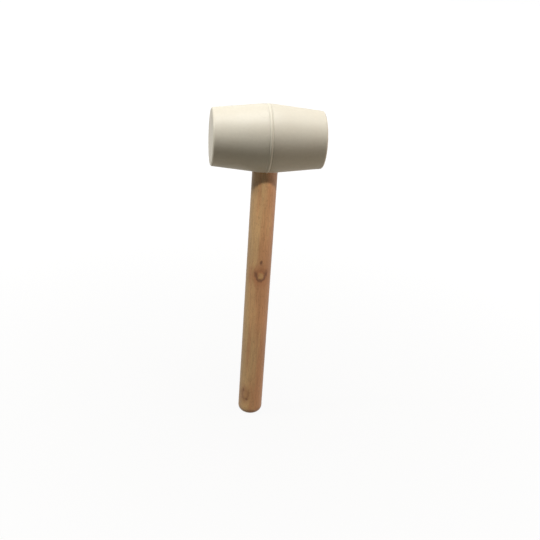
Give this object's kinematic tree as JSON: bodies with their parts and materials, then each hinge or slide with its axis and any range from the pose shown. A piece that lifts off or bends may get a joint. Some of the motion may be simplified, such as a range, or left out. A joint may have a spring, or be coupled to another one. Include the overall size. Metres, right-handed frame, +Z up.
{
  "type": "rubber mallet",
  "caption": "Rubber mallet: a barrel-shaped moulded white rubber head, blind-wedged on the tenon of a plain round turned wooden handle, for tapping pavers and blocks",
  "frame": {"origin": "on the handle's axis, level with the lowest line of the head, which is the top of the grip that a hand or a rack holds", "axes": "+Z runs up the handle to the head, +X runs along the head from one striking face to the other, and the front is seen looking along +Y"},
  "size_m": [0.1084, 0.0668, 0.3334],
  "materials": {
    "white_rubber": "satin, moulded, cream-white",
    "handle_wood": "turned hardwood, sanded, thin clear coat",
    "wedge_wood": "sawn hardwood, bare"
  },
  "bodies": {
    "root": {"head": "white_rubber", "handle": "handle_wood", "wedge": "wedge_wood"}
  },
  "joints": []
}
